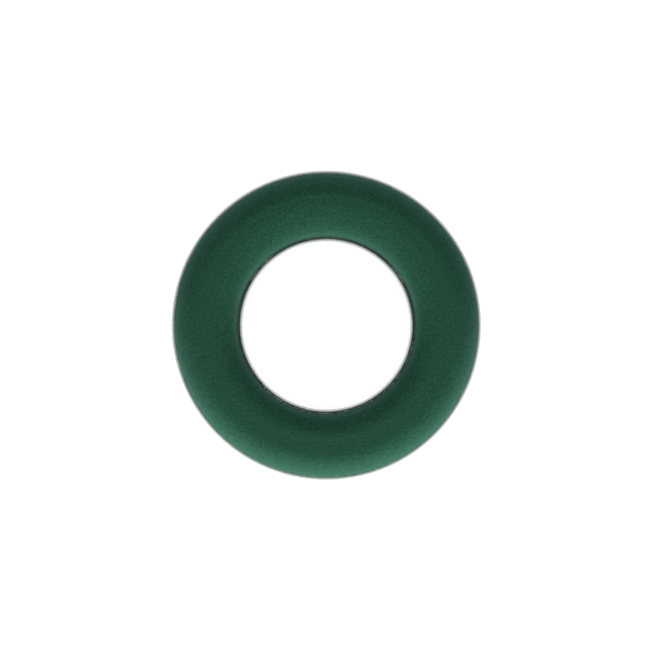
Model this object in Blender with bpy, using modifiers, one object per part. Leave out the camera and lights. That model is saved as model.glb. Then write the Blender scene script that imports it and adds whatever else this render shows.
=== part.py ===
"""Floral foam ring: a foam ring with a rounded top, glued into a clear, channel-shaped plastic tray.

Run with: blender --background --python part.py
Metres, +Z up. The origin is on the ring's axis, in the plane that the tray stands on.
"""

import math

import bmesh
import bpy

MM = 0.001

# Driving dimensions
OUTER_RADIUS = 125.0 * MM  # of the tray's outer lip
HOLE_RADIUS = 68.0 * MM  # of the tray's inner lip
TOTAL_HEIGHT = 45.0 * MM
TRAY_HEIGHT = 15.0 * MM

# Tray
OUTER_WALL = 0.8 * MM
INNER_WALL = 1.3 * MM
FLOOR_THICKNESS = 1.0 * MM
DRAFT = 0.1 * MM  # how much wider the channel is at its top than at its floor, at each wall
OUTER_LIP = 1.15 * MM  # how far the lip stands out from the outer wall
INNER_LIP = 1.9 * MM
LIP_THICKNESS = 1.1 * MM
FOOT_HEIGHT = 1.5 * MM
FOOT_WIDTH = 3.2 * MM
FOOT_SLOPE = 0.5 * MM  # the foot is this much wider where it meets the floor
RIB_COUNT = 12
RIB_WIDTH = 1.4 * MM
RIB_HEIGHT = 1.5 * MM
RIB_ROOT = 0.5 * MM  # how deep a rib starts inside the floor
RIB_END_GAP = 2.4 * MM  # from each end of a rib to the wall

# Foam
OUTER_GAP = 1.1 * MM  # from the foam to the outer wall, at the floor
RIDGE_RADIUS = 93.0 * MM  # where the crown starts to fall away towards the hole
SHOULDER_RADIUS = 20.0 * MM  # of the outer shoulder's curve
INNER_EDGE_RADIUS = 12.0 * MM  # of the tighter curve beside the hole
INNER_SLOPE = 20.0  # degrees, where the crown's long fall meets that tighter curve
FOAM_CHAMFER = 1.5 * MM

# Glue
DAB_COUNT = 6
DAB_RADIUS = 6.0 * MM

TOUCH_GAP = 0.3 * MM  # between pieces that touch
MERGE = 0.01 * MM
TURN_STEPS = 96
DAB_STEPS = 16
DAB_BULGE_STEPS = 4
SHOULDER_STEPS = 8
INNER_EDGE_STEPS = 6
FALL_STEPS = 3

# Radii and heights that follow from the driving dimensions
OUTER_WALL_OUTSIDE = OUTER_RADIUS - OUTER_LIP
OUTER_WALL_INSIDE = OUTER_WALL_OUTSIDE - OUTER_WALL
INNER_WALL_OUTSIDE = HOLE_RADIUS + INNER_LIP
INNER_WALL_INSIDE = INNER_WALL_OUTSIDE + INNER_WALL
FLOOR_TOP = FOOT_HEIGHT + FLOOR_THICKNESS
RIB_TOP = FLOOR_TOP + RIB_HEIGHT
CHANNEL_INNER = INNER_WALL_INSIDE + DRAFT
CHANNEL_OUTER = OUTER_WALL_INSIDE - DRAFT
FOAM_INNER = CHANNEL_INNER + TOUCH_GAP
FOAM_OUTER = CHANNEL_OUTER - OUTER_GAP
FOAM_BOTTOM = RIB_TOP + TOUCH_GAP
MIDDLE_RADIUS = (FOAM_INNER + FOAM_OUTER) / 2


def clear_scene():
    for obj in list(bpy.data.objects):
        bpy.data.objects.remove(obj, do_unlink=True)


def make_collection(name):
    collection = bpy.data.collections.new(name)
    bpy.context.scene.collection.children.link(collection)
    return collection


def make_material(name, color, roughness, alpha=1.0, transmission=0.0):
    material = bpy.data.materials.new(name)
    material.use_nodes = True
    shader = material.node_tree.nodes["Principled BSDF"]
    shader.inputs["Base Color"].default_value = (*color, 1.0)
    shader.inputs["Metallic"].default_value = 0.0
    shader.inputs["Roughness"].default_value = roughness
    shader.inputs["Alpha"].default_value = alpha
    shader.inputs["Transmission Weight"].default_value = transmission
    material.diffuse_color = (*color, alpha)
    return material


def arc(centre, radius, start, end, steps):
    """Points of a circular arc in the (radius, height) plane, from one angle to another in degrees."""
    points = []
    for i in range(steps + 1):
        angle = math.radians(start + (end - start) * i / steps)
        points.append((centre[0] + radius * math.cos(angle), centre[1] + radius * math.sin(angle)))
    return points


def turned(name, section, steps, material, collection):
    """A section of (radius, height) points, down its outer side first, turned about Z.

    A section that starts and ends on the axis stays open there, and any other is closed.
    """
    mesh = bpy.data.meshes.new(name)
    shape = bmesh.new()
    corners = [shape.verts.new((radius, 0.0, height)) for radius, height in section]
    for first, second in zip(corners, corners[1:]):
        shape.edges.new((first, second))
    if section[0][0] > 0.0:
        shape.edges.new((corners[-1], corners[0]))
    shape.to_mesh(mesh)
    shape.free()
    obj = bpy.data.objects.new(name, mesh)
    collection.objects.link(obj)
    mesh.materials.append(material)
    screw = obj.modifiers.new("turn", "SCREW")
    screw.axis = "Z"
    screw.angle = math.tau
    screw.steps = steps
    screw.render_steps = steps
    screw.use_merge_vertices = True
    screw.merge_threshold = MERGE
    screw.use_smooth_shade = True
    return obj


def foam_section():
    """A block with a round outer shoulder and a flat crown that falls slowly to a tighter inner edge."""
    outer_centre = (FOAM_OUTER - SHOULDER_RADIUS, TOTAL_HEIGHT - SHOULDER_RADIUS)
    inner_edge_x = FOAM_INNER + INNER_EDGE_RADIUS
    centre_distance = (RIDGE_RADIUS - inner_edge_x) / math.sin(math.radians(INNER_SLOPE))
    fall_radius = INNER_EDGE_RADIUS + centre_distance
    fall_centre = (RIDGE_RADIUS, TOTAL_HEIGHT - fall_radius)
    inner_edge_z = fall_centre[1] + centre_distance * math.cos(math.radians(INNER_SLOPE))
    inner_centre = (inner_edge_x, inner_edge_z)
    section = arc(outer_centre, SHOULDER_RADIUS, 90, 0, SHOULDER_STEPS)
    section += [
        (FOAM_OUTER, FOAM_BOTTOM + FOAM_CHAMFER),
        (FOAM_OUTER - FOAM_CHAMFER, FOAM_BOTTOM),
        (FOAM_INNER + FOAM_CHAMFER, FOAM_BOTTOM),
        (FOAM_INNER, FOAM_BOTTOM + FOAM_CHAMFER),
    ]
    section += arc(inner_centre, INNER_EDGE_RADIUS, 180, 90 + INNER_SLOPE, INNER_EDGE_STEPS)
    section += arc(fall_centre, fall_radius, 90 + INNER_SLOPE, 90, FALL_STEPS)[1:]
    return section


def tray_section():
    """A channel with a lip on each wall, standing on a foot under each wall."""
    outer_wall_foot = OUTER_WALL_OUTSIDE - DRAFT
    inner_wall_foot = INNER_WALL_OUTSIDE + DRAFT
    outer_foot_inside = outer_wall_foot - FOOT_WIDTH
    inner_foot_inside = inner_wall_foot + FOOT_WIDTH
    return [
        (OUTER_RADIUS, TRAY_HEIGHT),
        (OUTER_RADIUS, TRAY_HEIGHT - LIP_THICKNESS),
        (OUTER_WALL_OUTSIDE, TRAY_HEIGHT - LIP_THICKNESS),
        (outer_wall_foot, 0.0),
        (outer_foot_inside, 0.0),
        (outer_foot_inside - FOOT_SLOPE, FOOT_HEIGHT),
        (inner_foot_inside + FOOT_SLOPE, FOOT_HEIGHT),
        (inner_foot_inside, 0.0),
        (inner_wall_foot, 0.0),
        (INNER_WALL_OUTSIDE, TRAY_HEIGHT - LIP_THICKNESS),
        (HOLE_RADIUS, TRAY_HEIGHT - LIP_THICKNESS),
        (HOLE_RADIUS, TRAY_HEIGHT),
        (INNER_WALL_INSIDE, TRAY_HEIGHT),
        (CHANNEL_INNER, FLOOR_TOP),
        (CHANNEL_OUTER, FLOOR_TOP),
        (OUTER_WALL_INSIDE, TRAY_HEIGHT),
    ]


def dab_section():
    """A dab squeezed flat between the tray's floor and the foam, about the dab's own axis."""
    bottom = FLOOR_TOP + TOUCH_GAP
    top = FOAM_BOTTOM - TOUCH_GAP
    bulge_radius = (top - bottom) / 2
    bulge_centre = (DAB_RADIUS - bulge_radius, bottom + bulge_radius)
    bulge = arc(bulge_centre, bulge_radius, 90, -90, DAB_BULGE_STEPS)
    return [(0.0, top), *bulge, (0.0, bottom)]


def make_rib(angle, collection):
    """A bar across the channel's floor, pointing away from the axis at this angle."""
    start = CHANNEL_INNER + RIB_END_GAP
    end = CHANNEL_OUTER - RIB_END_GAP
    bottom = FLOOR_TOP - RIB_ROOT
    mesh = bpy.data.meshes.new("rib")
    shape = bmesh.new()
    bmesh.ops.create_cube(shape, size=1.0)
    bmesh.ops.scale(shape, vec=(end - start, RIB_WIDTH, RIB_TOP - bottom), verts=shape.verts)
    bmesh.ops.translate(shape, vec=((start + end) / 2, 0.0, (bottom + RIB_TOP) / 2), verts=shape.verts)
    shape.to_mesh(mesh)
    shape.free()
    rib = bpy.data.objects.new("rib", mesh)
    collection.objects.link(rib)
    rib.rotation_euler.z = angle
    rib.hide_render = True
    rib.display_type = "WIRE"
    return rib


def make_foam(collection):
    foam = make_material("floral_foam", (0.015, 0.066, 0.038), 0.95)
    turned("foam_ring", foam_section(), TURN_STEPS, foam, collection)


def make_tray(collection, helpers):
    plastic = make_material("clear_plastic", (0.86, 0.89, 0.88), 0.15, alpha=0.45, transmission=0.6)
    tray = turned("tray", tray_section(), TURN_STEPS, plastic, collection)
    for i in range(RIB_COUNT):
        rib = make_rib(math.tau * (i + 0.25) / RIB_COUNT, helpers)
        join = tray.modifiers.new("join_rib", "BOOLEAN")
        join.operation = "UNION"
        join.solver = "EXACT"
        join.object = rib


def make_glue(collection):
    """One dab in every second bay between the ribs."""
    glue = make_material("hot_melt_glue", (0.78, 0.74, 0.60), 0.35, alpha=0.8)
    for i in range(DAB_COUNT):
        angle = math.tau * (i + 0.375) / DAB_COUNT
        dab = turned(f"glue_dab_{i + 1:02d}", dab_section(), DAB_STEPS, glue, collection)
        dab.location.x = MIDDLE_RADIUS * math.cos(angle)
        dab.location.y = MIDDLE_RADIUS * math.sin(angle)


def main():
    clear_scene()
    parts = make_collection("floral_foam_ring")
    helpers = make_collection("helpers")
    make_tray(parts, helpers)
    make_glue(parts)
    make_foam(parts)


main()
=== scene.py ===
"""Looks of the floral foam ring: meshes, materials, floor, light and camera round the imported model."""

import math

import bmesh
import bpy
import numpy as np
from mathutils import Matrix, Vector, noise


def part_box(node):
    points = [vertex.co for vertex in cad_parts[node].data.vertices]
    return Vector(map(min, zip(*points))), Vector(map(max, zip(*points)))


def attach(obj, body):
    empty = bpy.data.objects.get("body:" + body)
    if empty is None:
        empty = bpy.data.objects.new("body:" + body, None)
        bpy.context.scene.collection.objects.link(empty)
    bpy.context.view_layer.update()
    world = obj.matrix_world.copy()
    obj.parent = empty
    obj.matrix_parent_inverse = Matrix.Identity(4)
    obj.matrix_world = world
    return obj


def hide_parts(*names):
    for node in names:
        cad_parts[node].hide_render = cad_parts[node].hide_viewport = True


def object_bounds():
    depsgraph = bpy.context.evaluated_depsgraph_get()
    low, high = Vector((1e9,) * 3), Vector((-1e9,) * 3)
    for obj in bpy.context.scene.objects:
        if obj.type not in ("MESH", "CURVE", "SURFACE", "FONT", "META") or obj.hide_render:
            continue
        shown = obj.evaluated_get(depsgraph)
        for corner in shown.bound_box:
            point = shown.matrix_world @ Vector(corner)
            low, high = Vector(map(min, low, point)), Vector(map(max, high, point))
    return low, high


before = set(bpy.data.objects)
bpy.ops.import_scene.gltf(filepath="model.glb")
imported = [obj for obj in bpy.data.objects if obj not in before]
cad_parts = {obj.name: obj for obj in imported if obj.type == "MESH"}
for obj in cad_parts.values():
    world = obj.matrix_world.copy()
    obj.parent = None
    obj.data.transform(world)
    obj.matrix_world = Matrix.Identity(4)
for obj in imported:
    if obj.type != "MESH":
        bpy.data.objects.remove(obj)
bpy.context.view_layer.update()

MM = 0.001
SEED = 25

# Foam
RIDGE_RADIUS = 93.0 * MM  # where the crown starts to fall away towards the hole
SHOULDER_RADIUS = 20.0 * MM  # of the outer shoulder's curve
INNER_EDGE_RADIUS = 12.0 * MM  # of the tighter curve beside the hole
INNER_SLOPE = 20.0  # degrees, where the crown's long fall meets that tighter curve
FOAM_CHAMFER = 1.5 * MM
FOAM_COLUMNS = 640  # round the ring
FOAM_SPACING = 0.9 * MM  # between rows, where the foam shows
HIDDEN_SPACING = 3.0 * MM  # between rows underneath
RIDGE_DRIFT = 3.6 * MM  # how far the crown's inner side strays from a true circle
DRIFT_START = (72 * MM, 89 * MM)  # distances from the axis between which the drift sets in
DRIFT_END = (92 * MM, 108 * MM)  # and between which it dies away
DRIFT_HEIGHTS = (30 * MM, 40 * MM)  # between which it sets in
WAVE_DEPTH = 0.16 * MM
WAVE_LENGTH = 30 * MM
GRAIN_DEPTH = 0.045 * MM
GRAIN_LENGTH = 1.9 * MM
GRAIN_OCTAVES = 3
GRAIN_HEADROOM = 2  # grain depths by which the crown is lowered
MILLING_DEPTH = 0.05 * MM
MILLING_PITCH = 3.0 * MM
MILLING_TURNS = 0.6  # how much the milled rings change round the ring
MILLING_FACING = (0.5, 0.9)  # upward share of the outward direction, between which it sets in
OUTER_TUCK = 0.25 * MM  # how far the foam's outer side stands back from the solid's
INNER_TUCK = 0.15 * MM
NOISE_INCREMENT = 0.8  # of layered noise: more makes the finer layers weaker
NOISE_LACUNARITY = 2.0  # how many times finer each layer is
PIT_COUNT = 420
PIT_RADIUS = (0.5 * MM, 1.3 * MM)
PIT_DEPTH_SHARE = 0.35  # of its radius
# Of each dent: angle in degrees, then distance from the axis, length, width and depth in mm, then its
# turn in degrees from the direction away from the axis
DENTS = (
    (-2.5, 107.6, 5.0, 1.5, 0.50, 70.0),
    (28.9, 107.5, 2.4, 2.0, 0.45, 0.0),
    (36.6, 107.4, 2.2, 2.0, 0.40, 0.0),
    (-22.2, 107.8, 2.2, 2.0, 0.40, 0.0),
    (137.9, 79.8, 2.4, 2.0, 0.40, 0.0),
    (126.2, 109.8, 2.2, 2.0, 0.40, 0.0),
    (-80.7, 82.3, 5.0, 1.4, 0.30, 20.0),
    (97.8, 101.3, 9.0, 1.6, 0.22, 40.0),
)
CHIP_DEPTH = 0.9 * MM  # where the foam's edge has crumbled beside the tray
CHIP_LENGTH = 2.6 * MM
CHIP_OCTAVES = 2
CHIP_START = (-3 * MM, 0.0)  # heights above the tray between which the chips set in
CHIP_END = (1 * MM, 4 * MM)  # and between which they die away
CHIP_NOISE = (0.0, 0.5)  # levels of the noise between which a chip deepens
CHIP_SHARE = 0.15  # of their depth, away from the worn stretches

# Worn stretches of the ring, in degrees
WORN_OUTSIDE = ((53.0, 64.0), (120.0, 133.0), (165.0, 200.0))
WORN_INSIDE = ((26.0, 42.0), (128.0, 150.0), (225.0, 350.0))
WORN_FADE = 1.5  # to each side of a stretch's end

# Tray, as the CAD solid has it
OUTER_WALL = 0.8 * MM
INNER_WALL = 1.3 * MM
FLOOR_THICKNESS = 1.0 * MM
DRAFT = 0.1 * MM
OUTER_LIP = 1.15 * MM
INNER_LIP = 1.9 * MM
LIP_THICKNESS = 1.1 * MM
FOOT_HEIGHT = 1.5 * MM
FOOT_WIDTH = 3.2 * MM
FOOT_SLOPE = 0.5 * MM
RIB_COUNT = 12
RIB_WIDTH = 1.4 * MM
RIB_HEIGHT = 1.5 * MM
RIB_ROOT = 0.5 * MM
RIB_END_GAP = 2.4 * MM
RIB_TURN = 0.25  # of the angle between ribs, from +X to the first

# Tray's finer details
RIB_ROUNDING = 0.45 * MM
GROOVE_WIDTH = 0.5 * MM  # between the inner lip and the top of the wall behind it
GROOVE_DEPTH = 0.7 * MM
GROOVE_OFFSET = 0.1 * MM  # of the groove from the wall's outside, towards the hole
EDGE_ROUNDING = 0.22 * MM
EDGE_SHARE = 0.45  # of an edge's length that the rounding at one end may take
CORNER_STEPS = 4
TRAY_STEPS = 360
TRAY_MERGE = 0.005 * MM
SHARP_ANGLE = 50.0  # degrees

# Glue
GLUE_SUBDIVISIONS = 4
GLUE_CLEARANCE = 0.05 * MM
GLUE_RAGGEDNESS = 0.22  # of its outline, as a share of its radius
GLUE_WAVES = 1.7  # of that raggedness over one radius
GLUE_SHRINK = 0.55  # how far the raggedness leans inwards
GLUE_SQUEEZE = 1.9  # how many times taller the round blob would be than its room
GLUE_BULGE = 0.25  # how much narrower its flat faces are than its middle
GLUE_CORE = 0.35  # share of the radius inside which points aren't pushed out to the outline

# Crumbs
CRUMBS_PER_DEGREE = 1.6  # in the worn stretches
CRUMB_RADIUS = (0.2 * MM, 0.45 * MM)
CRUMB_SPREAD = (-0.3 * MM, 0.2 * MM)  # from each wall's edge beside the foam, away from the axis
CRUMB_RISE = 0.3  # of its radius, from the tray's top to its middle
CRUMB_LUMPS = 0.5  # how far its surface rises and falls, as a share of its radius
CRUMB_WAVES = 1.3  # of those lumps over one radius
CRUMB_FLATNESS = 0.7  # its height as a share of its width
CRUMB_SUBDIVISIONS = 2
# Of each loose crumb: angle in degrees, then distance from the axis, height and radius in mm
LOOSE_CRUMBS = (
    (211.6, 68.7, 15.1, 0.45),
    (255.4, 68.6, 15.1, 0.38),
    (63.4, 123.4, 15.2, 0.80),
    (126.5, 123.3, 15.2, 0.60),
)

# Foam's look
FOAM_GREEN = (0.0105, 0.0512, 0.0286)
FOAM_LIGHT = (0.0113, 0.0550, 0.0309)  # in its lighter clouds and between its cells
FOAM_DARK = (0.0017, 0.0125, 0.0064)  # in the low parts of its grain
CLOUD_SIZE = 28 * MM
SPECK_SIZE = 1.6 * MM
CELL_SIZE = 1.1 * MM
SHEEN = 0.18  # of the powdery surface
SHEEN_TINT = (0.45, 1.0, 0.85)
HOLE_SHEEN = 0.04
SHOULDER_SHEEN = 0.12
HOLE_SHEEN_BAND = (71.4 * MM, 73 * MM)  # distances from the axis between which it rises from the hole's
SHOULDER_SHEEN_BAND = (114 * MM, 120 * MM)  # between which it falls to the shoulder's
SIDE_SHEEN_BAND = (119.3 * MM, 121.3 * MM)  # between which the side's falls to none

# Crumbs' look
DUST_COLOURS = ((0.16, 0.25, 0.21), (0.52, 0.60, 0.56))

# Tray's look
PLASTIC_COLOURS = ((0.91, 0.93, 0.91), (0.97, 0.98, 0.97))
PLASTIC_TINT = (0.44, 0.64, 0.54)
PLASTIC_DENSITY = 250.0  # of that tint, per metre of depth
PLASTIC_ALPHA = 0.4
# Painted shade: the plastic's colour is darkened in the groove by the hole and at the outer wall's top,
# beside the foam
PAINTED_SHADE = (0.22, 0.27, 0.24)
GROOVE_SHADE = (69.1 * MM, 69.6 * MM, 70.3 * MM, 70.8 * MM)  # from the axis: start, full, full, end
RIM_GAP_SHADE = (122.7 * MM, 122.9 * MM, 123.2 * MM, 123.5 * MM)  # the same
PAINTED_SHADE_HEIGHTS = (13.9 * MM, 14.2 * MM)  # between which it sets in

# Glue's look
GLUE_COLOURS = ((0.72, 0.66, 0.46), (0.86, 0.82, 0.66))

# Floor and light
FLOOR_SIZE = 8.0
FLOOR_DROP = 0.1 * MM  # under the tray's feet
FLOOR_COLOURS = ((0.19, 0.19, 0.19), (0.21, 0.21, 0.21))
FLOOR_GLOW = 0.89
HOLE_SHADE_EDGE = 0.6 * MM  # half the width of the edge of the shade under the tray, at the hole
RIM_SHADE_EDGE = 1.2 * MM  # the same at the outer rim
RIM_SHADE_REACH = 0.35 * MM  # from the rim out to the middle of that edge
WORLD_STRENGTH = 1.0
SOFTBOX_PLACE = (0.0, -1.5, 0.30)
SOFTBOX_AIM = (0.0, 0.0, 0.03)
SOFTBOX_SIZE = (1.2, 0.5)
SOFTBOX_POWER = 64.0  # W

# Camera
CAMERA_HEIGHT = 1.3
FOCAL_LENGTH = 88.1  # mm
SENSOR_WIDTH = 36.0  # mm
FRAMING_SHIFT = (-0.0020, 0.0006)  # shares of the sensor's width

rng = np.random.default_rng(SEED)


def smooth_step(value, low, high):
    t = np.clip((value - low) / (high - low), 0.0, 1.0)
    return t * t * (3.0 - 2.0 * t)


def inner_radius(node):
    """The smallest distance of a CAD node's corners from the ring's axis."""
    return min(math.hypot(v.co.x, v.co.y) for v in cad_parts[node].data.vertices)


def line(start, end, spacing):
    """Points from start up to but not including end, in the (radius, height) plane."""
    length = math.dist(start, end)
    steps = max(1, round(length / spacing))
    return [
        (start[0] + (end[0] - start[0]) * i / steps, start[1] + (end[1] - start[1]) * i / steps)
        for i in range(steps)
    ]


def arc(centre, radius, start, end, spacing):
    """Points of an arc between two angles in degrees, up to but not including its end."""
    steps = max(1, round(radius * math.radians(abs(end - start)) / spacing))
    points = []
    for i in range(steps):
        angle = math.radians(start + (end - start) * i / steps)
        points.append((centre[0] + radius * math.cos(angle), centre[1] + radius * math.sin(angle)))
    return points


def link(name, mesh, material, slot, *nodes):
    """A new piece that rides on the one body and stands for these CAD nodes."""
    piece = bpy.data.objects.new(name, mesh)
    bpy.context.scene.collection.objects.link(piece)
    mesh.materials.append(material)
    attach(piece, "root")
    if nodes:
        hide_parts(*nodes)


# ---------------------------------------------------------------- foam


def foam_section():
    """The foam's outline, from its crown's middle down the outer side and round to the crown again."""
    low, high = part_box("foam_ring")
    outer = high.x
    inner = inner_radius("foam_ring")
    slope = math.radians(INNER_SLOPE)
    outer_centre = (outer - SHOULDER_RADIUS, high.z - SHOULDER_RADIUS)
    inner_x = inner + INNER_EDGE_RADIUS
    centre_distance = (RIDGE_RADIUS - inner_x) / math.sin(slope)
    fall_radius = INNER_EDGE_RADIUS + centre_distance
    fall_centre = (RIDGE_RADIUS, high.z - fall_radius)
    inner_centre = (inner_x, fall_centre[1] + centre_distance * math.cos(slope))
    middle = ((RIDGE_RADIUS + outer_centre[0]) / 2, high.z)
    outer_corner = [(outer, low.z + FOAM_CHAMFER), (outer - FOAM_CHAMFER, low.z)]
    inner_corner = [(inner + FOAM_CHAMFER, low.z), (inner, low.z + FOAM_CHAMFER)]
    section = line(middle, (outer_centre[0], high.z), FOAM_SPACING)
    section += arc(outer_centre, SHOULDER_RADIUS, 90, 0, FOAM_SPACING)
    section += line((outer, outer_centre[1]), outer_corner[0], FOAM_SPACING)
    section += line(*outer_corner, FOAM_SPACING)
    section += line(outer_corner[1], inner_corner[0], HIDDEN_SPACING)
    section += line(*inner_corner, FOAM_SPACING)
    section += line(inner_corner[1], (inner, inner_centre[1]), FOAM_SPACING)
    section += arc(inner_centre, INNER_EDGE_RADIUS, 180, 90 + INNER_SLOPE, FOAM_SPACING)
    section += arc(fall_centre, fall_radius, 90 + INNER_SLOPE, 90, FOAM_SPACING)
    section += line((RIDGE_RADIUS, high.z), middle, FOAM_SPACING)
    return np.array(section)


def section_normals(section):
    """Unit vectors pointing out of a closed outline that runs clockwise in the (radius, height) plane."""
    along = np.roll(section, -1, axis=0) - np.roll(section, 1, axis=0)
    normals = np.stack([-along[:, 1], along[:, 0]], axis=1)
    return normals / np.linalg.norm(normals, axis=1, keepdims=True)


def noise_field(points, length, octaves=1):
    """Smooth noise from about -1 to 1 at each point, with lumps of this length."""
    scaled = points / length
    if octaves == 1:
        return np.array([noise.noise(Vector(p)) for p in scaled])
    return np.array([noise.fractal(Vector(p), NOISE_INCREMENT, NOISE_LACUNARITY, octaves) for p in scaled])


def pits(points, candidates):
    """Small hollows where open cells have torn out, as a depth at each point."""
    depth = np.zeros(len(points))
    for centre in rng.choice(candidates, PIT_COUNT, replace=False):
        radius = rng.uniform(*PIT_RADIUS)
        distance = np.linalg.norm(points - points[centre], axis=1)
        near = distance < radius
        hollow = (1.0 - (distance[near] / radius) ** 2) * radius * PIT_DEPTH_SHARE
        depth[near] = np.maximum(depth[near], hollow)
    return depth


def dents(points):
    """The larger marks on the crown, as a depth at each point."""
    depth = np.zeros(len(points))
    for angle, radius, length, width, deep, turn in DENTS:
        around = math.radians(angle)
        along = math.radians(angle + turn)
        offset = points[:, :2] - radius * MM * np.array([math.cos(around), math.sin(around)])
        forward = offset @ [math.cos(along), math.sin(along)] / (length * MM / 2)
        sideways = offset @ [-math.sin(along), math.cos(along)] / (width * MM / 2)
        hollow = np.maximum(0.0, 1.0 - forward**2 - sideways**2) * deep * MM
        depth = np.maximum(depth, hollow)
    return depth * (points[:, 2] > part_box("tray")[1].z)


def worn(angle, stretches):
    """0 to 1 for each angle, and 1 inside these stretches of the ring."""
    share = np.zeros(len(angle))
    for start, end in stretches:
        middle = (start + end) / 2
        half = (end - start) / 2
        away = np.abs((np.degrees(angle) - middle + 180.0) % 360.0 - 180.0)
        share = np.maximum(share, 1.0 - smooth_step(away, half - WORN_FADE, half + WORN_FADE))
    return share


def chips(points, angle, radius):
    """How far the foam's edge beside the tray has crumbled away, as a depth at each point."""
    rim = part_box("tray")[1].z
    above = points[:, 2] - rim
    beside = smooth_step(above, *CHIP_START) * (1.0 - smooth_step(above, *CHIP_END))
    outside = radius > RIDGE_RADIUS
    share = np.where(outside, worn(angle, WORN_OUTSIDE), worn(angle, WORN_INSIDE))
    ragged = smooth_step(noise_field(points, CHIP_LENGTH, CHIP_OCTAVES), *CHIP_NOISE)
    return CHIP_DEPTH * beside * (CHIP_SHARE + (1.0 - CHIP_SHARE) * share) * ragged


def drift(points, angle, radius):
    """Moves the crown's inner side a little, as on a ring whose top was shaped off its middle."""
    weight = smooth_step(radius, *DRIFT_START) - smooth_step(radius, *DRIFT_END)
    weight *= smooth_step(points[:, 2], *DRIFT_HEIGHTS)
    stretch = 1.0 + RIDGE_DRIFT * np.sin(angle) * weight / radius
    points[:, :2] *= stretch[:, None]


def milling(angle, radius):
    """Faint uneven rings left by the tool that shaped the top."""
    sweep = np.stack([np.cos(angle), np.sin(angle)], axis=1) * MILLING_TURNS
    return noise_field(np.column_stack([sweep, radius / MILLING_PITCH]), 1.0)


def turn_about_axis(values):
    """(radius, height) values turned about Z, as a row of three for each column and outline point."""
    angles = np.linspace(0.0, math.tau, FOAM_COLUMNS, endpoint=False)
    around = np.stack([np.cos(angles), np.sin(angles)], axis=1)
    flat = values[None, :, 0, None] * around[:, None, :]
    height = np.broadcast_to(values[None, :, 1, None], (*flat.shape[:2], 1))
    return np.concatenate([flat, height], axis=2).reshape(-1, 3)


def surface_lift(points, out, angle, radius):
    """How far each point moves outwards, for the foam's waves, grain, milling and damage."""
    shown = points[:, 2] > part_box("foam_ring")[0].z + FOAM_CHAMFER
    upward = np.maximum(0.0, out[:, 2])
    lift = WAVE_DEPTH * (noise_field(points, WAVE_LENGTH) - upward) / 2
    lift += GRAIN_DEPTH * noise_field(points, GRAIN_LENGTH, GRAIN_OCTAVES)
    lift += MILLING_DEPTH * milling(angle, radius) * smooth_step(out[:, 2], *MILLING_FACING)
    lift -= np.where(radius > RIDGE_RADIUS, OUTER_TUCK, INNER_TUCK) * (1.0 - upward)
    lift -= pits(points, np.flatnonzero(shown)) + dents(points) + chips(points, angle, radius)
    lift -= GRAIN_DEPTH * GRAIN_HEADROOM * upward
    return lift


def foam_faces(rows):
    """The quads between neighbouring columns, each a closed outline of this many points."""
    faces = []
    for column in range(FOAM_COLUMNS):
        here = column * rows
        there = (column + 1) % FOAM_COLUMNS * rows
        for row in range(rows):
            below = (row + 1) % rows
            faces.append((here + row, here + below, there + below, there + row))
    return faces


def make_foam(material):
    section = foam_section()
    points = turn_about_axis(section)
    out = turn_about_axis(section_normals(section))
    angle = np.arctan2(points[:, 1], points[:, 0])
    radius = np.hypot(points[:, 0], points[:, 1])
    drift(points, angle, radius)
    points += out * surface_lift(points, out, angle, radius)[:, None]
    mesh = bpy.data.meshes.new("foam_body")
    mesh.from_pydata(points.tolist(), [], foam_faces(len(section)))
    mesh.shade_smooth()
    link("foam_body", mesh, material, "foam", "foam_ring")


# ---------------------------------------------------------------- tray


def tray_corners():
    """The tray's section as (radius, height), down its outer side first."""
    low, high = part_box("tray")
    outer = high.x
    hole = inner_radius("tray")
    top = high.z
    under_lip = top - LIP_THICKNESS
    outer_outside = outer - OUTER_LIP
    outer_inside = outer_outside - OUTER_WALL
    inner_outside = hole + INNER_LIP
    inner_inside = inner_outside + INNER_WALL
    groove = inner_outside - GROOVE_OFFSET
    floor_top = FOOT_HEIGHT + FLOOR_THICKNESS
    return [
        (outer, top),
        (outer, under_lip),
        (outer_outside, under_lip),
        (outer_outside - DRAFT, low.z),
        (outer_outside - DRAFT - FOOT_WIDTH, low.z),
        (outer_outside - DRAFT - FOOT_WIDTH - FOOT_SLOPE, FOOT_HEIGHT),
        (inner_outside + DRAFT + FOOT_WIDTH + FOOT_SLOPE, FOOT_HEIGHT),
        (inner_outside + DRAFT + FOOT_WIDTH, low.z),
        (inner_outside + DRAFT, low.z),
        (inner_outside, under_lip),
        (hole, under_lip),
        (hole, top),
        (groove - GROOVE_WIDTH / 2, top),
        (groove, top - GROOVE_DEPTH),
        (groove + GROOVE_WIDTH / 2, top),
        (inner_inside, top),
        (inner_inside + DRAFT, floor_top),
        (outer_inside - DRAFT, floor_top),
        (outer_inside, top),
    ]


def rounded(corners):
    """The outline of (radius, height) corners with each corner turned into a short curve."""
    outline = []
    for i, place in enumerate(corners):
        corner = Vector(place)
        before = Vector(corners[i - 1]) - corner
        after = Vector(corners[(i + 1) % len(corners)]) - corner
        reach = min(EDGE_ROUNDING, before.length * EDGE_SHARE, after.length * EDGE_SHARE)
        start = corner + before.normalized() * reach
        end = corner + after.normalized() * reach
        for step in range(CORNER_STEPS + 1):
            t = step / CORNER_STEPS
            outline.append(start.lerp(corner, t).lerp(corner.lerp(end, t), t))
    return outline


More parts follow.
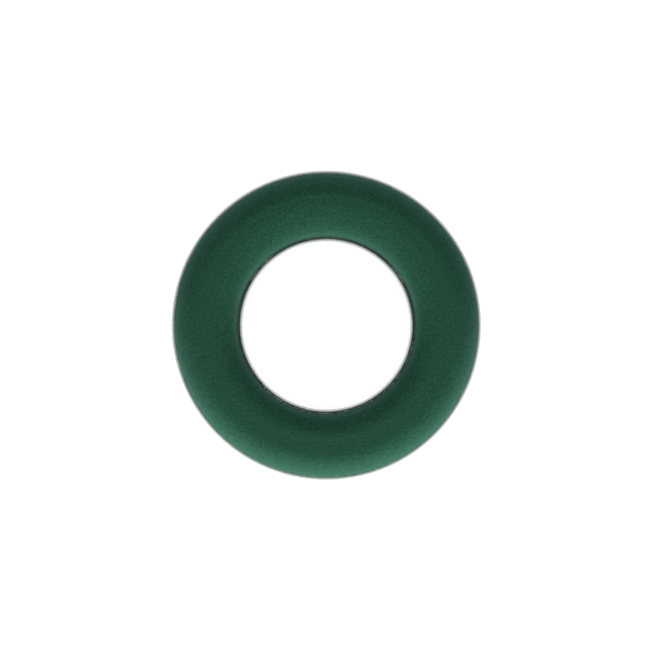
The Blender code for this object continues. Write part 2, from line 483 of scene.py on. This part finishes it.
def rib_bar():
    """One bar of the channel's floor, pointing along +X, with its upper and upright edges rounded."""
    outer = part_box("tray")[1].x - OUTER_LIP - OUTER_WALL - DRAFT - RIB_END_GAP
    inner = inner_radius("tray") + INNER_LIP + INNER_WALL + DRAFT + RIB_END_GAP
    floor_top = FOOT_HEIGHT + FLOOR_THICKNESS
    bottom = floor_top - RIB_ROOT
    top = floor_top + RIB_HEIGHT
    shape = bmesh.new()
    bmesh.ops.create_cube(shape, size=1.0)
    bmesh.ops.scale(shape, vec=(outer - inner, RIB_WIDTH, top - bottom), verts=shape.verts)
    bmesh.ops.translate(shape, vec=((outer + inner) / 2, 0.0, (top + bottom) / 2), verts=shape.verts)
    soft = [e for e in shape.edges if max(v.co.z for v in e.verts) > floor_top]
    bmesh.ops.bevel(shape, geom=soft, offset=RIB_ROUNDING, segments=3, affect="EDGES", profile=0.5)
    bar = bpy.data.meshes.new("rib")
    shape.to_mesh(bar)
    shape.free()
    return bar


def make_ribs():
    """All the bars on the channel's floor as one mesh, to be joined to the tray."""
    shape = bmesh.new()
    for i in range(RIB_COUNT):
        bar = rib_bar()
        bar.transform(Matrix.Rotation(math.tau * (i + RIB_TURN) / RIB_COUNT, 4, "Z"))
        shape.from_mesh(bar)
    mesh = bpy.data.meshes.new("ribs")
    shape.to_mesh(mesh)
    shape.free()
    ribs = bpy.data.objects.new("ribs", mesh)
    bpy.context.scene.collection.objects.link(ribs)
    return ribs


def turned_tray():
    """The tray without its ribs, as its rounded outline with a modifier that turns it about Z."""
    outline = rounded(tray_corners())
    mesh = bpy.data.meshes.new("tray_outline")
    points = [(x, 0.0, z) for x, z in outline]
    edges = [(i, (i + 1) % len(points)) for i in range(len(points))]
    mesh.from_pydata(points, edges, [])
    tray = bpy.data.objects.new("tray_outline", mesh)
    bpy.context.scene.collection.objects.link(tray)
    screw = tray.modifiers.new("turn", "SCREW")
    screw.steps = TRAY_STEPS
    screw.render_steps = TRAY_STEPS
    screw.use_merge_vertices = True
    screw.merge_threshold = TRAY_MERGE
    return tray


def make_tray(material):
    tray = turned_tray()
    ribs = make_ribs()
    join = tray.modifiers.new("join_ribs", "BOOLEAN")
    join.operation = "UNION"
    join.object = ribs
    graph = bpy.context.evaluated_depsgraph_get()
    shell = bpy.data.meshes.new_from_object(tray.evaluated_get(graph), depsgraph=graph)
    bpy.data.objects.remove(tray)
    bpy.data.objects.remove(ribs)
    shell.name = "tray_shell"
    shell.materials.clear()
    shell.shade_smooth()
    shell.set_sharp_from_angle(angle=math.radians(SHARP_ANGLE))
    link("tray_shell", shell, material, "clear_plastic", "tray")


# ---------------------------------------------------------------- glue and crumbs


def ball(name):
    mesh = bpy.data.meshes.new(name)
    shape = bmesh.new()
    bmesh.ops.create_icosphere(shape, subdivisions=GLUE_SUBDIVISIONS, radius=1.0)
    shape.to_mesh(mesh)
    shape.free()
    mesh.shade_smooth()
    return mesh


def make_glue(material):
    """A ragged dab in the place of each CAD dab, squeezed flat by the foam."""
    for node in sorted(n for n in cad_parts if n.startswith("glue_dab")):
        low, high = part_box(node)
        centre = (low + high) / 2
        half = (high - low) / 2
        mesh = ball("glue_blob" + node[-3:])
        for v in mesh.vertices:
            around = Vector((v.co.x, v.co.y, 0.0))
            waves = noise.noise(around * GLUE_WAVES + centre / MM)
            ragged = 1.0 + GLUE_RAGGEDNESS * (waves - GLUE_SHRINK)
            flat = max(-1.0, min(1.0, v.co.z * GLUE_SQUEEZE))
            spread = (1.0 - GLUE_BULGE * flat * flat) * ragged * half.x / max(around.length, GLUE_CORE)
            v.co.x = centre.x + around.x * spread
            v.co.y = centre.y + around.y * spread
            v.co.z = centre.z + flat * (half.z - GLUE_CLEARANCE)
        link(mesh.name, mesh, material, "glue", node)


def crumb_places():
    """(angle, radius, height, size) of each crumb on top of the tray's walls and lips."""
    hole = inner_radius("tray")
    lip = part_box("tray")[1]
    outer_wall_top = lip.x - OUTER_LIP - OUTER_WALL
    inner_wall_top = hole + INNER_LIP + INNER_WALL
    places = []
    for stretches, middle in ((WORN_OUTSIDE, outer_wall_top), (WORN_INSIDE, inner_wall_top)):
        for start, end in stretches:
            for _ in range(round((end - start) * CRUMBS_PER_DEGREE)):
                size = rng.uniform(*CRUMB_RADIUS)
                angle = math.radians(rng.uniform(start, end))
                radius = middle + rng.uniform(*CRUMB_SPREAD)
                places.append((angle, radius, lip.z + size * CRUMB_RISE, size))
    for angle, radius, height, size in LOOSE_CRUMBS:
        places.append((math.radians(angle), radius * MM, height * MM, size * MM))
    return places


def make_crumbs(material):
    shape = bmesh.new()
    for angle, radius, height, size in crumb_places():
        crumb = bmesh.ops.create_icosphere(shape, subdivisions=CRUMB_SUBDIVISIONS, radius=size)["verts"]
        centre = Vector((radius * math.cos(angle), radius * math.sin(angle), height))
        for v in crumb:
            lumpy = 1.0 + CRUMB_LUMPS * noise.noise(v.co / size * CRUMB_WAVES + centre / MM)
            v.co = centre + Vector((v.co.x, v.co.y, v.co.z * CRUMB_FLATNESS)) * lumpy
    mesh = bpy.data.meshes.new("foam_crumbs")
    shape.to_mesh(mesh)
    shape.free()
    mesh.shade_smooth()
    link("foam_crumbs", mesh, material, "foam")


# ---------------------------------------------------------------- materials


class Nodes:
    """Short calls that add and join the nodes of one material."""

    def __init__(self, name):
        self.material = bpy.data.materials.new(name)
        self.material.use_nodes = True
        self.tree = self.material.node_tree
        self.shader = self.tree.nodes["Principled BSDF"]
        self.place = self.add("TexCoord").outputs["Object"]

    def add(self, kind, **settings):
        node = self.tree.nodes.new("ShaderNode" + kind)
        for name, value in settings.items():
            setattr(node, name, value)
        return node

    def join(self, output, node, name):
        self.tree.links.new(output, node.inputs[name])

    def noise(self, size, detail=2.0, roughness=0.5):
        """Noise whose lumps are about this many metres long."""
        node = self.add("TexNoise")
        node.inputs["Scale"].default_value = 1.0 / size
        node.inputs["Detail"].default_value = detail
        node.inputs["Roughness"].default_value = roughness
        self.join(self.place, node, "Vector")
        return node.outputs["Fac"]

    def cells(self, size):
        """Distance to the middle of the nearest cell, with cells about this many metres across."""
        node = self.add("TexVoronoi")
        node.inputs["Scale"].default_value = 1.0 / size
        self.join(self.place, node, "Vector")
        return node.outputs["Distance"]

    def between(self, value, low, high, to_low, to_high):
        """The value moved from its first range to the second, and held at the second's ends."""
        node = self.add("MapRange")
        names = ("From Min", "From Max", "To Min", "To Max")
        for name, number in zip(names, (low, high, to_low, to_high)):
            node.inputs[name].default_value = number
        self.join(value, node, "Value")
        return node.outputs["Result"]

    def radius(self):
        """Distance from the object's own Z axis."""
        flat = self.add("VectorMath", operation="MULTIPLY")
        flat.inputs[1].default_value = (1.0, 1.0, 0.0)
        self.join(self.place, flat, 0)
        length = self.add("VectorMath", operation="LENGTH")
        self.join(flat.outputs["Vector"], length, 0)
        return length.outputs["Value"]

    def height(self):
        """Distance along the object's own Z axis."""
        parts = self.add("SeparateXYZ")
        self.join(self.place, parts, "Vector")
        return parts.outputs["Z"]

    def combine(self, operation, first, second):
        node = self.add("Math", operation=operation)
        self.join(first, node, 0)
        self.join(second, node, 1)
        return node.outputs["Value"]

    def mix(self, factor, first, second):
        """A colour between two, which are colours or outputs."""
        node = self.add("Mix", data_type="RGBA")
        self.join(factor, node, "Factor")
        for socket, colour in ((node.inputs[6], first), (node.inputs[7], second)):
            if isinstance(colour, tuple):
                socket.default_value = (*colour, 1.0)
            else:
                self.tree.links.new(colour, socket)
        return node.outputs[2]

    def window(self, value, start, full_start, full_end, end):
        """Rises from 0 to 1 between the first two numbers and falls back between the last two."""
        rise = self.between(value, start, full_start, 0.0, 1.0)
        fall = self.between(value, full_end, end, 1.0, 0.0)
        return self.combine("MINIMUM", rise, fall)

    def bump(self, height, distance, strength, under=None):
        node = self.add("Bump")
        node.inputs["Distance"].default_value = distance
        node.inputs["Strength"].default_value = strength
        self.join(height, node, "Height")
        if under is not None:
            self.join(under, node, "Normal")
        return node.outputs["Normal"]

    def set(self, **values):
        for name, value in values.items():
            self.shader.inputs[name.replace("_", " ")].default_value = value


def foam_material():
    """Phenolic foam: a dull, powdery green with fine open cells and darker and lighter clouds."""
    n = Nodes("floral_foam")
    clouds = n.between(n.noise(CLOUD_SIZE, 3.0), 0.35, 0.65, 0.0, 1.0)
    grain = n.between(n.noise(SPECK_SIZE, 4.0, 0.7), 0.36, 0.64, 0.0, 1.0)
    pores = n.cells(CELL_SIZE)
    broad = n.mix(clouds, FOAM_GREEN, FOAM_LIGHT)
    grainy = n.mix(grain, FOAM_DARK, broad)
    colour = n.mix(n.between(pores, 0.1, 0.6, 0.0, 0.5), grainy, FOAM_LIGHT)
    n.join(colour, n.shader, "Base Color")
    fine = n.bump(pores, 0.2 * MM, 0.4)
    n.join(n.bump(grain, 0.3 * MM, 0.5, fine), n.shader, "Normal")
    n.join(n.between(grain, 0.0, 1.0, 0.98, 0.88), n.shader, "Roughness")
    away = n.radius()
    inside = n.between(away, *HOLE_SHEEN_BAND, HOLE_SHEEN, SHEEN)
    shoulder = n.between(away, *SHOULDER_SHEEN_BAND, SHEEN, SHOULDER_SHEEN)
    side = n.between(away, *SIDE_SHEEN_BAND, SHEEN, 0.0)
    n.join(n.combine("MINIMUM", n.combine("MINIMUM", inside, shoulder), side), n.shader, "Sheen Weight")
    n.set(Specular_IOR_Level=0.05, Sheen_Roughness=0.5)
    n.shader.inputs["Sheen Tint"].default_value = (*SHEEN_TINT, 1.0)
    return n.material


def dust_material():
    """Foam rubbed to crumbs, paler than the block."""
    n = Nodes("foam_dust")
    clouds = n.noise(0.8 * MM, 2.0)
    n.join(n.mix(clouds, *DUST_COLOURS), n.shader, "Base Color")
    n.join(n.bump(n.noise(0.3 * MM), 0.1 * MM, 0.4), n.shader, "Normal")
    n.set(Roughness=0.95)
    return n.material


def plastic_material():
    """Clear polystyrene, a little hazy and not quite flat, with painted shade darkening its colour along
    both of its rims.
    """
    n = Nodes("clear_plastic")
    haze = n.noise(9 * MM, 2.0)
    away = n.radius()
    in_groove = n.window(away, *GROOVE_SHADE)
    at_rim = n.window(away, *RIM_GAP_SHADE)
    on_top = n.between(n.height(), *PAINTED_SHADE_HEIGHTS, 0.0, 1.0)
    # painted shade in the groove and at the outer rim's gap, only near the top of the walls
    painted_shade = n.combine("MINIMUM", n.combine("MAXIMUM", in_groove, at_rim), on_top)
    clear = n.mix(haze, *PLASTIC_COLOURS)
    n.join(n.mix(painted_shade, clear, PAINTED_SHADE), n.shader, "Base Color")
    n.join(n.between(haze, 0.3, 0.7, 0.06, 0.14), n.shader, "Roughness")
    n.join(n.bump(n.noise(4 * MM, 2.0), 0.2 * MM, 0.15), n.shader, "Normal")
    n.set(IOR=1.57, Transmission_Weight=0.96, Alpha=PLASTIC_ALPHA)
    inside = n.add("VolumeAbsorption")
    inside.inputs["Color"].default_value = (*PLASTIC_TINT, 1.0)
    inside.inputs["Density"].default_value = PLASTIC_DENSITY
    n.join(inside.outputs["Volume"], n.tree.nodes["Material Output"], "Volume")
    return n.material


def glue_material():
    """Hot-melt glue: waxy, yellowish and half see-through."""
    n = Nodes("hot_melt_glue")
    clouds = n.noise(3 * MM, 2.0)
    n.join(n.mix(clouds, *GLUE_COLOURS), n.shader, "Base Color")
    n.join(n.between(clouds, 0.3, 0.7, 0.25, 0.45), n.shader, "Roughness")
    n.join(n.bump(n.noise(1.5 * MM), 0.2 * MM, 0.3), n.shader, "Normal")
    n.set(Transmission_Weight=0.35, IOR=1.48)
    return n.material


# ---------------------------------------------------------------- floor, light and camera


def make_floor():
    """A white table that glows evenly, with a painted shadow where its glow is cut off under the tray."""
    bpy.ops.mesh.primitive_plane_add(size=FLOOR_SIZE, location=(0.0, 0.0, -FLOOR_DROP))
    floor = bpy.context.object
    floor.name = "floor"
    hole = inner_radius("tray") + INNER_LIP
    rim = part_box("tray")[1].x + RIM_SHADE_REACH
    n = Nodes("white_table")
    tone = n.noise(0.4, 2.0)
    n.join(n.mix(tone, *FLOOR_COLOURS), n.shader, "Base Color")
    away = n.radius()
    # painted shadow: no glow under the tray, fading in across the hole's edge and just beyond the rim
    in_hole = n.between(away, hole - HOLE_SHADE_EDGE, hole + HOLE_SHADE_EDGE, FLOOR_GLOW, 0.0)
    around = n.between(away, rim - RIM_SHADE_EDGE, rim + RIM_SHADE_EDGE, 0.0, FLOOR_GLOW)
    n.join(n.combine("MAXIMUM", in_hole, around), n.shader, "Emission Strength")
    n.set(Roughness=0.9, Specular_IOR_Level=0.0)
    n.shader.inputs["Emission Color"].default_value = (1.0, 1.0, 1.0, 1.0)
    floor.data.materials.append(n.material)


def make_world():
    world = bpy.data.worlds.new("studio")
    world.use_nodes = True
    background = world.node_tree.nodes["Background"]
    background.inputs["Color"].default_value = (1.0, 1.0, 1.0, 1.0)
    background.inputs["Strength"].default_value = WORLD_STRENGTH
    bpy.context.scene.world = world


def make_softbox():
    lamp = bpy.data.lights.new("front_softbox", "AREA")
    lamp.shape = "RECTANGLE"
    lamp.size, lamp.size_y = SOFTBOX_SIZE
    lamp.energy = SOFTBOX_POWER
    softbox = bpy.data.objects.new("front_softbox", lamp)
    softbox.location = SOFTBOX_PLACE
    towards = Vector(SOFTBOX_AIM) - Vector(SOFTBOX_PLACE)
    softbox.rotation_euler = towards.to_track_quat("-Z", "Y").to_euler()
    bpy.context.scene.collection.objects.link(softbox)


def make_camera():
    low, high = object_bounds()
    lens = bpy.data.cameras.new("camera")
    lens.lens = FOCAL_LENGTH
    lens.sensor_width = SENSOR_WIDTH
    lens.shift_x, lens.shift_y = FRAMING_SHIFT
    camera = bpy.data.objects.new("camera", lens)
    camera.location = ((low[0] + high[0]) / 2, (low[1] + high[1]) / 2, CAMERA_HEIGHT)
    bpy.context.scene.collection.objects.link(camera)
    bpy.context.scene.camera = camera


make_camera()
make_foam(foam_material())
make_crumbs(dust_material())
make_tray(plastic_material())
make_glue(glue_material())
make_floor()
make_world()
make_softbox()
bpy.context.scene.view_settings.view_transform = "Standard"
